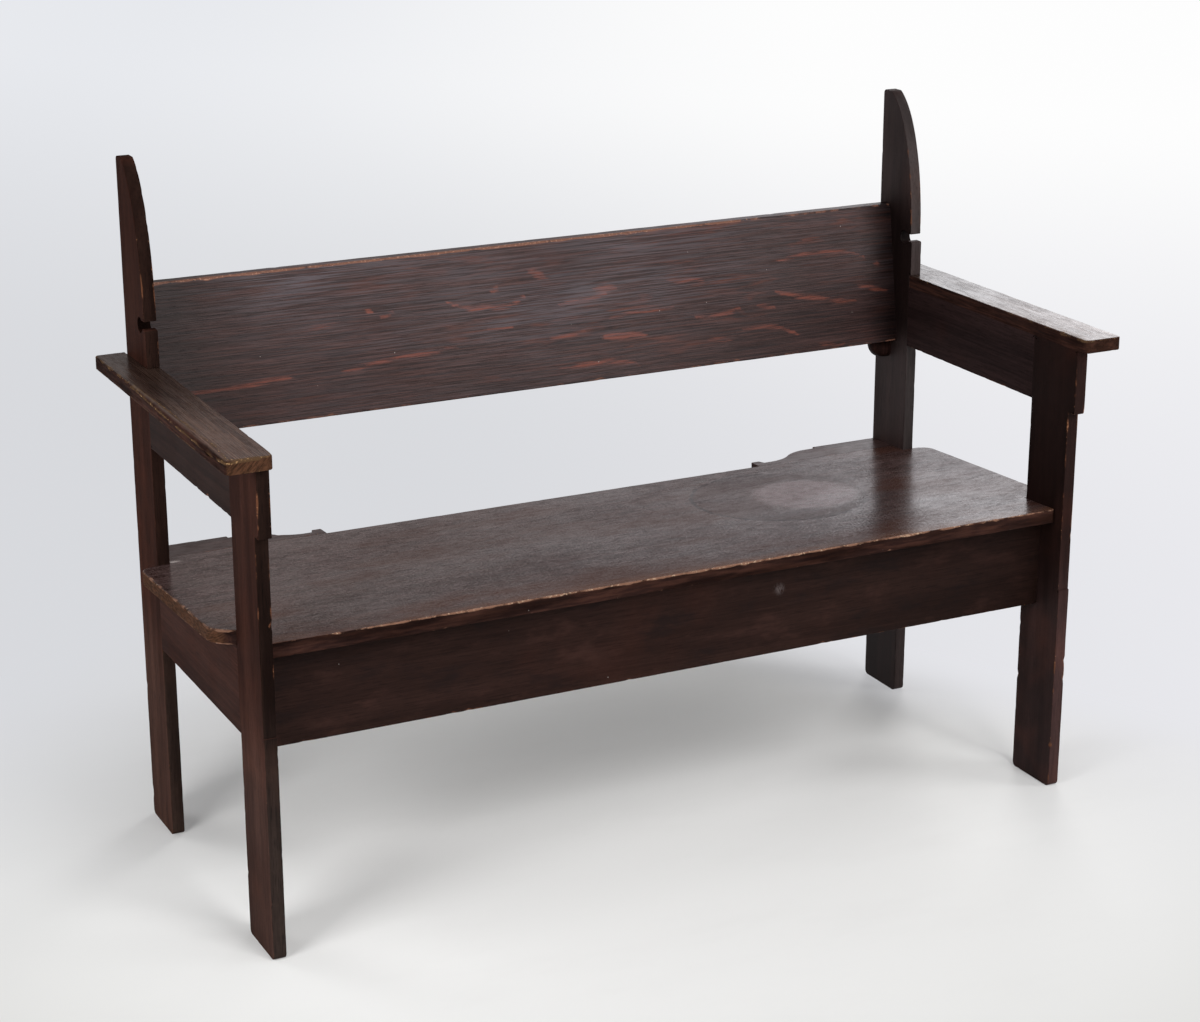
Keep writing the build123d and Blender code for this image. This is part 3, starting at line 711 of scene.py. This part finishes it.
def filled(loop, spacing):
    """Points inside a loop, about a spacing apart, and triangles over both: the loop's points first."""
    low, high = loop.min(axis=0), loop.max(axis=0)
    lines = [np.linspace(a, b, max(2, round((b - a) / spacing) + 1))[1:-1] for a, b in zip(low, high)]
    grid = np.stack(np.meshgrid(*lines), axis=-1).reshape(-1, 2)
    if len(grid):
        ends = np.roll(loop, -1, axis=0)
        above = (loop[:, 1] > grid[:, 1:]) != (ends[:, 1] > grid[:, 1:])
        climb = ends[:, 1] - loop[:, 1]
        climb = np.where(abs(climb) < TINY, TINY, climb)
        crossing = loop[:, 0] + (grid[:, 1:] - loop[:, 1]) / climb * (ends[:, 0] - loop[:, 0])
        inside = (above & (grid[:, :1] < crossing)).sum(axis=1) % 2 == 1
        clear = np.full(len(grid), np.inf)
        for spot in loop:
            clear = np.minimum(clear, np.linalg.norm(grid - spot, axis=1))
        grid = grid[inside & (clear > GRID_CLEAR * spacing)]
    points = np.concatenate([loop, grid])
    outline = [list(range(len(loop)))]
    made = geometry.delaunay_2d_cdt([Vector(p) for p in points], [], outline, 1, MERGE)
    back, extra = [], []
    for spot, sources in zip(made[0], made[3]):
        if sources:
            back.append(min(sources))
        else:
            back.append(len(points) + len(extra))
            extra.append(spot)
    triangles = [[back[i] for i in face] for face in made[2]]
    found = np.concatenate([grid, np.array(extra).reshape(-1, 2)])
    return found, triangles


def surfaces():
    """Each board's closed surface and its box, to find where other boards touch it."""
    found = {}
    for name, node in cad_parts.items():
        if name.endswith(("screws", "dowels")):
            continue
        points = [vertex.co for vertex in node.data.vertices]
        tree = BVHTree.FromPolygons(points, [face.vertices for face in node.data.polygons])
        corners = np.array(points)
        found[name] = tree, corners.min(axis=0), corners.max(axis=0)
    return found


def touching(node):
    """Surfaces of the boards whose boxes meet this one's."""
    _, low, high = solids[node]
    near = []
    for name, (tree, other_low, other_high) in solids.items():
        if name != node and (other_low < high + SEAM).all() and (other_high > low - SEAM).all():
            near.append(tree)
    return near


def board(node, axis, material, side=1, turn=0.0, worn=None, base=1.0 * MM, chips=1.0,
          loop=None, span=None, shift=None, spacing=25 * MM):
    """A worn board: its solid's outline, extruded, with rounded and chipped arrises.

    worn(point, top) gives a least radius and a strength of wear at a point of the row frame.
    """
    if loop is None:
        loop, low, high = face_outline(node, axis, side, turn)
    else:
        low, high = span
    loop = spaced(softened(tidy(loop), CORNER_RADIUS), STEP)
    normals = inward(loop)
    free = room(loop, normals)
    plane = [k for k in range(3) if k != axis]
    unspin = np.array(Matrix.Rotation(-turn, 3, "X"))

    def placed(flat, level):
        points = np.zeros((len(flat), 3))
        points[:, plane] = flat
        points[:, axis] = level
        if shift:
            points = shift(points)
        return points @ unspin.T

    neighbours = touching(node)
    rings, arris, wear, caps = [], [], [], []
    for top in (False, True):
        level = high if top else low
        inwards = -1 if top else 1
        radius, strength = [], []
        for spot in placed(loop, np.full(len(loop), level)):
            here = Vector(spot)
            ripple = noise.noise(here * RIPPLES + Vector((0, 0, TOP_SHIFT * top)))
            nick = max(0.0, noise.noise(here * NICKS) - NICK_FLOOR) * NICK_DEPTH * chips
            least, amount = worn(here, top) if worn else (0.0, 0.0)
            if any(tree.find_nearest(here, SEAM)[0] for tree in neighbours):
                radius.append(SEAM_RADIUS)
                strength.append(-1.0)
                continue
            radius.append(max(base, least) * (1.0 + RIPPLE_ROUND * ripple) + nick)
            strength.append(min(1.0, max(-1.0, amount + RIPPLE_WEAR * ripple + nick * NICK_WEAR)))
        radius = np.minimum(np.array(radius), np.minimum(WIDEST_ROUND * free, DEEPEST_ROUND * (high - low)))
        margin = np.minimum(radius + WEAR_REACH, WIDEST_MARGIN * free)
        caps.append(loop + normals * margin[:, None])
        made = [(caps[-1], np.full(len(loop), level), 1.0)]
        for k in range(ARC_STEPS + 1):
            angle = math.pi / 2 * k / ARC_STEPS
            inset = radius * (1 - math.sin(angle))
            drop = radius * (1 - math.cos(angle))
            middle = np.clip((radius - FACET_FROM) / FACET_OVER, 0.0, FACET_MIDDLE) * math.sin(2 * angle)
            made.append((loop + normals * inset[:, None], level + inwards * drop, middle))
        away = level + inwards * np.minimum(radius + WEAR_REACH, 0.5 * (high - low))
        made.append((loop, away, 1.0))
        if top:
            made = made[::-1]
        for flat, levels, distance in made:
            rings.append(placed(flat, levels))
            arris.append(np.ones(len(loop)) * distance)
            wear.append(np.array(strength))
    count = len(loop)
    last = (len(rings) - 1) * count
    faces = [
        (start + i, start + (i + 1) % count, start + count + (i + 1) % count, start + count + i)
        for start in range(0, last, count) for i in range(count)
    ]
    for flat, level, start in ((caps[0], low, 0), (caps[1], high, last)):
        points, triangles = filled(flat, spacing)
        first = sum(len(ring) for ring in rings) - count
        number = [start + i if i < count else first + i for i in range(count + len(points))]
        faces += [tuple(number[i] for i in triangle) for triangle in triangles]
        rings.append(placed(points, np.full(len(points), level)))
        arris.append(np.ones(len(points)))
        wear.append(np.zeros(len(points)))
    name = f"worn_{node}"
    mesh = bpy.data.meshes.new(name)
    mesh.from_pydata(np.concatenate(rings).tolist(), [], faces)
    mesh.validate()
    for title, values in (("arris", arris), ("wear", wear)):
        data = mesh.attributes.new(title, "FLOAT", "POINT")
        data.data.foreach_set("value", np.concatenate(values).astype(np.float32))
    mesh.shade_smooth()
    mesh.set_sharp_from_angle(angle=SHARP)
    piece = new_object(name, mesh)
    mesh.materials.append(material)
    orient(mesh)
    piece.modifiers.new("weights", "WEIGHTED_NORMAL").keep_sharp = True
    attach(piece, "root")
    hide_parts(node)
    return piece


def orient(mesh):
    """Turns the faces outwards."""
    bm = bmesh.new()
    bm.from_mesh(mesh)
    bmesh.ops.recalc_face_normals(bm, faces=bm.faces)
    bm.to_mesh(mesh)
    bm.free()


def make_stage():
    """Pale floor that runs up to the horizon: it takes shadows near the bench and glows beyond."""
    mesh = bpy.data.meshes.new("floor")
    corners = [(i * FLOOR_REACH, j * FLOOR_REACH, 0) for i, j in ((-1, -1), (1, -1), (1, 1), (-1, 1))]
    mesh.from_pydata(corners, [], [(0, 1, 2, 3)])
    floor = new_object("floor", mesh)
    floor.location.z = -FLOOR_DROP
    material, g = new_material("floor")
    place = g.coordinates("Object")
    ahead = Vector((math.sin(CAMERA_AZIMUTH), math.cos(CAMERA_AZIMUTH), 0))
    far = g.dot(place, ahead)
    aside = g.dot(place, Vector((ahead.y, -ahead.x, 0)))
    scuffs = g.noise(g.vector("MULTIPLY", place, (2.0, 5.0, 1.0)), 1.5, 6.0, 0.65)
    pale = g.mix(g.ramp(scuffs, 0.45, 0.75, 0.0, 0.10), FLOOR_PAINT, colour(0.66, 0.65, 0.64))
    matt = g.node("ShaderNodeBsdfDiffuse", {"Color": pale})
    low = g.mix(g.ramp(aside, -0.6, 1.4), colour(0.685, 0.695, 0.725), colour(0.815, 0.815, 0.85))
    top = g.mix(g.ramp(aside, -2.4, 1.2), colour(0.80, 0.815, 0.85), colour(0.985, 0.985, 0.985))
    deep = g.sum(far, g.product(aside, 0.4))
    glow = g.mix(g.ramp(deep, 1.3, 7.2), low, top)
    glow = g.mix(g.ramp(far, -0.8, 0.5), colour(0.745, 0.745, 0.732), glow)
    lit = g.node("ShaderNodeEmission", {"Color": glow, "Strength": 1.0})
    path = g.node("ShaderNodeLightPath")
    seen = g.math("MAXIMUM", path.outputs["Is Camera Ray"], path.outputs["Is Glossy Ray"])
    near = g.ramp(g.hypot(far, aside), *SHADOW_REACH)
    behind = g.ramp(g.sum(far, g.product(aside, 0.8)), *SHADOW_DEPTH)
    both = g.blend(g.product(seen, g.math("MAXIMUM", near, behind)), matt, lit)
    g.node("ShaderNodeOutputMaterial", {"Surface": both.outputs[0]})
    mesh.materials.append(material)


def make_world():
    """Even fill light, and for reflections a bright window behind the right end and one in front."""
    world = bpy.data.worlds.new("studio")
    bpy.context.scene.world = world
    world.use_nodes = True
    g = Graph(world.node_tree)
    way = g.coordinates("Generated")
    rear, front = (g.dot(way, aim(*map(math.radians, glow))) for glow in (REAR_GLOW, FRONT_GLOW))
    bright = g.sum(
        g.ramp(rear, 0.80, 0.95, DIM_REFLECTION, REAR_HALO),
        g.ramp(rear, 0.935, 0.975, 0.0, REAR_CORE),
        g.ramp(front, 0.80, 0.99, 0.0, FRONT_GLOW_POWER),
    )
    tint = g.mix(g.ramp(rear, 0.84, 0.96), colour(1.0, 0.88, 0.85), colour(0.97, 0.95, 1.0))
    path = g.node("ShaderNodeLightPath").outputs
    fill = g.node("ShaderNodeBackground", {"Color": colour(0.97, 0.98, 1.0), "Strength": FILL_POWER})
    mirrored = g.node("ShaderNodeBackground", {"Color": tint, "Strength": bright})
    shown = g.node("ShaderNodeBackground", {"Color": colour(0.95, 0.95, 0.96), "Strength": 1.0})
    both = g.blend(path["Is Glossy Ray"], fill, mirrored)
    whole = g.blend(path["Is Camera Ray"], both, shown)
    g.node("ShaderNodeOutputWorld", {"Surface": whole.outputs[0]})


def lamp(name, place, target, size, power, mirrored=False):
    """Square soft lamp: it lights the bench, or only shows in what the bench reflects."""
    data = bpy.data.lights.new(name, "AREA")
    data.shape = "SQUARE"
    data.size = size
    data.energy = power
    made = new_object(name, data)
    made.location = place
    made.rotation_euler = (Vector(target) - Vector(place)).to_track_quat("-Z", "Y").to_euler()
    made.visible_camera = False
    made.visible_diffuse = not mirrored
    made.visible_glossy = mirrored


# Where the arrises are worn


def rise(value, low, high):
    """Zero below low, one above high, and a smooth step between them."""
    share = min(1.0, max(0.0, (value - low) / (high - low)))
    return share * share * (3 - 2 * share)


def bumps(value, *places):
    """Sum of bumps, each of a height at a centre and fading to zero at a reach from it."""
    return sum(height * rise(reach - abs(value - centre), 0.0, reach) for height, centre, reach in places)


def seat_wear(p, top):
    """The front arris is rubbed bare from the middle to the right, and the left wing's edge too."""
    if p.y < SEAT_FRONT and abs(p.x) < SEAT_FRONT_END:
        amount = rise(p.x, -0.6, -0.35) * (1 - 0.5 * rise(p.x, 0.35, 0.6))
        if top:
            return (1.0 + 0.7 * amount) * MM, 0.05 + 0.75 * amount
        return 0.0, -0.2
    if p.x < -WING_LINE:
        return (2.0 * MM, 0.25) if top else (1.5 * MM, 0.2)
    return 0.0, 0.05


def left_arm_wear(p, top):
    """The outer top arris is worn away towards the front end."""
    forward = rise(-p.y, -0.24, 0.27)
    corner = 1 - 0.6 * rise(-p.y, 0.255, 0.285)
    if top and p.x < -WING_LINE:
        return (2.2 + 8.5 * forward) * corner * MM, 0.5 + 0.4 * forward
    if p.y < ARM_FRONT:
        return (1.4 * MM, 0.65) if top else (0.8 * MM, 0.3)
    if p.x < -WING_LINE:
        return 0.8 * MM, 0.25
    return 0.0, 0.05


def right_arm_wear(p, top):
    """The inner top arris is rubbed towards the front end, and the outer one along its length."""
    if top and p.x < ARM_INNER_LINE:
        amount = rise(-p.y, 0.0, 0.2)
        return (1.2 + 1.6 * amount) * MM, 0.05 + 0.2 * amount
    if top:
        return 2.2 * MM, 0.35
    return 0.0, 0.15


def left_front_post_wear(p, top):
    """Chips along the block's arris and a bare spot at the ledge."""
    if p.y > FRONT_HALF:
        return 0.0, -0.2
    return 0.0, min(1.0, bumps(p.z, (1.0, 0.66, 0.05), (0.5, 0.57, 0.03), (0.8, 0.51, 0.015)) - 0.2)


def right_front_post_wear(p, top):
    """Chips along the front arrises, from the block down to the foot."""
    if p.y > FRONT_HALF:
        return 0.0, 0.05
    return 0.0, min(1.0, bumps(p.z, (0.8, 0.60, 0.05), (0.5, 0.45, 0.06), (0.4, 0.2, 0.08)))


def rear_post_wear(p, top):
    """The heads' front arrises are rubbed above the back board."""
    if p.y > REAR_EDGE:
        return 0.0, 0.0
    if abs(p.z - KEYHOLE_PLACE[1]) < KEYHOLE_WORK:
        return 0.0, -1.0
    return 0.0, bumps(p.z, (0.7, 0.86, 0.1)) - 0.15


def board_wear(p, top):
    """The same light wear everywhere."""
    return 0.0, 0.1


solids = surfaces()
make_camera()
make_stage()
make_world()
for name, setting in LAMPS.items():
    lamp(name, *setting)
lamp("window", *WINDOW, mirrored=True)

# Painted light and shade on the posts: darker fronts on the left, a lighter front on the right rear post, a
# darker inner face on the right front post, lighter or darker feet, and the back board's painted shadow
# beside the right rear post.
REAR_LEFT = painted_post_light(front=(0.55, 0.70, 0.75), foot=(1.8, 2.2, 2.3), body=0.93)
REAR_RIGHT = painted_post_light(front=(1.5, 1.95, 2.0), beside=0.4, foot=(0.75, 0.60, 0.58), hand=1)
FRONT_LEFT = painted_post_light(front=(0.5, 0.68, 0.74), foot=(1.6, 2.05, 2.25))
FRONT_RIGHT = painted_post_light(inner=0.6, foot=(2.3, 2.7, 3.0), hand=1)
POST_GRAIN = {"rings": 90.0, "contrast": 0.6, "broadness": 0.65, "rough": 0.68}
RAIL_GRAIN = {"contrast": 0.6, "broadness": 0.5}
RAIL_ROUND = 0.5 * MM

for hand, s in (("left", -1), ("right", 1)):
    left = s < 0
    board(f"rear_post_{hand}", X,
          oak(f"rear_post_{hand}", "Z", 3.1 + s, POST_TONES if left else GREY_TONES, pith=(0.3, 0.05),
              red=0.3 if left else 0.1, shine=0.02 if left else 0.35,
              extra=REAR_LEFT if left else REAR_RIGHT, **POST_GRAIN),
          side=s, worn=rear_post_wear)
    board(f"front_post_{hand}", X,
          oak(f"front_post_{hand}", "Z", 5.7 + s, POST_TONES if left else SHADED_TONES, pith=(0.22, 0.06),
              shine=0.02 if left else 0.12, extra=FRONT_LEFT if left else FRONT_RIGHT, **POST_GRAIN),
          side=s, worn=left_front_post_wear if left else right_front_post_wear)
    board(f"arm_rail_{hand}", X,
          oak(f"arm_rail_{hand}", "Y", 8.3 + s, APRON_TONES if left else RAIL_TONES, pith=(0.05, 0.5),
              shine=0.03, **RAIL_GRAIN), side=s, base=RAIL_ROUND, worn=board_wear)
    board(f"seat_side_rail_{hand}", X,
          oak(f"seat_side_rail_{hand}", "Y", 9.9 + s, pith=(0.05, 0.4), shine=0.02, **RAIL_GRAIN),
          side=s, base=RAIL_ROUND, worn=board_wear)
    board(f"arm_{hand}", Z,
          oak(f"arm_{hand}", "Y", 12.4 + s, ARM_TONES, pith=(0.08, 0.02), red=0.08, rough=0.27, shine=0.5,
              side_shine=0.03, contrast=0.8, worn=ARM_WORN, bare=ARM_BARE,
              extra=arm_marks(1.0 if left else 0.2)),
          side=-1, worn=left_arm_wear if left else right_arm_wear)
    board(f"seat_ear_{hand}", Z,
          oak(f"seat_ear_{hand}", "X", 15.0 + s, SEAT_TONES, red=0.05, rough=0.33, shine=0.5,
              side_shine=0.05), side=-1, turn=SEAT_PITCH, worn=board_wear)

board("seat_board", Z,
      oak("seat_board", "X", 20.0, SEAT_TONES, pith=(0.3, 0.9), red=0.05, rough=0.26, shine=0.58,
          side_shine=0.04, relief=0.05, waves=0.22, worn=SEAT_WORN, bare=SEAT_BARE, extra=seat_marks),
      side=-1, turn=SEAT_PITCH, worn=seat_wear, chips=0.5)
board("front_apron", Y,
      oak("front_apron", "X", 23.0, APRON_TONES, red=0.12, contrast=0.5, broadness=0.5, specks=0.9,
          extra=apron_marks), worn=board_wear)
board("rear_apron", Y, oak("rear_apron", "X", 26.0, APRON_TONES))
for name, seed in (("front_ledger", 27.0), ("rear_ledger", 28.0)):
    board(name, Y, oak(name, "X", seed, HIDDEN_TONES))


def level_top(points):
    """Planes the leaning board's top edge level."""
    high = back_high[Z]
    near = np.clip((points[:, Z] - (high - TOP_BAND)) / TOP_FADE, 0, 1)
    points = points.copy()
    points[:, Z] -= near * (back_high[Y] - points[:, Y]) * math.tan(BACK_RECLINE)
    return points


back_corners, _ = turned("back_board", BACK_RECLINE)
back_low, back_high = back_corners.min(0), back_corners.max(0)
rectangle = np.array([
    (back_low[X], back_low[Z]), (back_high[X], back_low[Z]),
    (back_high[X], back_high[Z]), (back_low[X], back_high[Z]),
])
# The largest ray flecks on the back board, in mm: x, height up the board, length, rise, bow and half
# width, and how strong each shows. They waver by FLECK_WAVE and fade out over about FLECK_BLUR.
FLECK_WAVE = 3.0
FLECK_WAVES = 25.0  # per metre
FLECK_BLUR = 2.5
FLECKS = (
    (-500, 65, 160, 8, -2, 3, 1.0),
    (-250, 72, 190, 14, 3, 4, 0.8),
    (-100, 148, 130, -5, -14, 3, 0.9),
    (-85, 162, 14, 8, 0, 6, 0.8),
    (-8, 175, 30, -12, 0, 13, 0.7),
    (-295, 152, 10, -4, 0, 4, 0.9),
    (-265, 142, 26, 7, 0, 2.5, 1.0),
    (-370, 137, 60, 7, 0, 5, 0.45),
    (-80, 100, 40, 0, 0, 2.5, 0.7),
    (-60, 134, 35, 8, 0, 2.5, 0.6),
    (-550, 140, 95, 5, 0, 5, 0.35),
    (105, 144, 40, -3, 0, 9, 0.75),
    (65, 131, 85, 10, -2, 3.5, 0.9),
    (250, 141, 65, -8, 0, 8, 0.6),
    (500, 150, 170, -7, 13, 3.5, 0.8),
    (490, 183, 40, -4, 0, 2.5, 0.7),
    (490, 90, 150, -30, -3, 4.5, 0.95),
    (597, 93, 60, -12, 0, 3.5, 0.9),
    (609, 132, 10, 0, 0, 3, 1.0),
    (305, 86, 85, 5, -5, 3, 0.9),
    (395, 83, 32, -4, 0, 5, 0.7),
    (168, 96, 115, 5, 5, 4, 0.7),
    (135, 65, 75, -5, 0, 6, 1.0),
    (35, 78, 60, 7, 0, 3, 0.7),
    (400, 40, 110, -18, 11, 3.5, 0.8),
    (305, 39, 46, -5, 0, 5, 0.6),
    (85, 20, 145, -4, 8, 5, 0.8),
    (515, 9, 48, -4, 0, 6, 0.6),
)


def fleck_at(points):
    """How strongly each point of the back board is marked by the ray flecks."""
    local = points @ np.array(Matrix.Rotation(BACK_RECLINE, 3, "X")).T
    along, up = local[:, X] / MM, (local[:, Z] - back_low[Z]) / MM
    up = up + np.array([FLECK_WAVE * noise.noise(Vector(point) * FLECK_WAVES) for point in points])
    marked = np.zeros(len(points))
    for x, height, length, climb, bow, half, strength in FLECKS:
        share = np.clip((along - x) / length, -0.5, 0.5)
        line = height + climb * share + bow * (1 - 4 * share * share)
        away = np.hypot(along - x - share * length, up - line)
        reach = (0.7 * half + FLECK_BLUR) * (1 - 2 * share * share)
        fade = np.clip(1.3 - away / reach, 0, 1)
        marked = np.maximum(marked, strength * fade)
    return marked


def back_wear(p, top):
    """The front face's upper arris is rubbed along most of its length."""
    if top:
        return 0.0, 0.0
    if p.z > 0.8:
        return 2.2 * MM, 1.0 - 0.7 * rise(p.x, 0.15, 0.45)
    if p.z < 0.64:
        return 0.0, 0.3
    return 0.0, 0.1


back_piece = board(
    "back_board", Y,
    oak("back_board", "X", 31.0, BACK_TONES, pith=(0.9, 0.6), red=0.1, rough=0.42, shine=0.5, relief=0.5,
        waves=0.6, contrast=0.75, broadness=0.12, rings=420.0, run=5.0, worn=BACK_WORN,
        bare=BACK_BARE, specks=0.8, extra=back_marks),
    turn=BACK_RECLINE, loop=rectangle, span=(back_low[Y], back_high[Y]), shift=level_top, base=2.0 * MM,
    worn=back_wear, spacing=5 * MM,
)
back_mesh = back_piece.data
back_points = np.array([vertex.co for vertex in back_mesh.vertices])
fleck = back_mesh.attributes.new("fleck", "FLOAT", "POINT")
fleck.data.foreach_set("value", fleck_at(back_points).astype(np.float32))


def dress(name, material):
    """Gives a carried-over CAD node its material."""
    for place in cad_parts[name].material_slots:
        place.material = material


for hand in ("left", "right"):
    dress(f"back_cleat_{hand}", oak(f"back_cleat_{hand}", "Z", 33.0, SHADED_TONES, worn=None))
for name in ("arm_dowels", "ear_dowels"):
    dress(name, oak(name, "Z", 35.0, HIDDEN_TONES, worn=None))
for name in ("ledger_screws", "seat_screws", "back_screws", "cleat_screws"):
    dress(name, steel(name))

bpy.context.scene.view_settings.view_transform = "Standard"
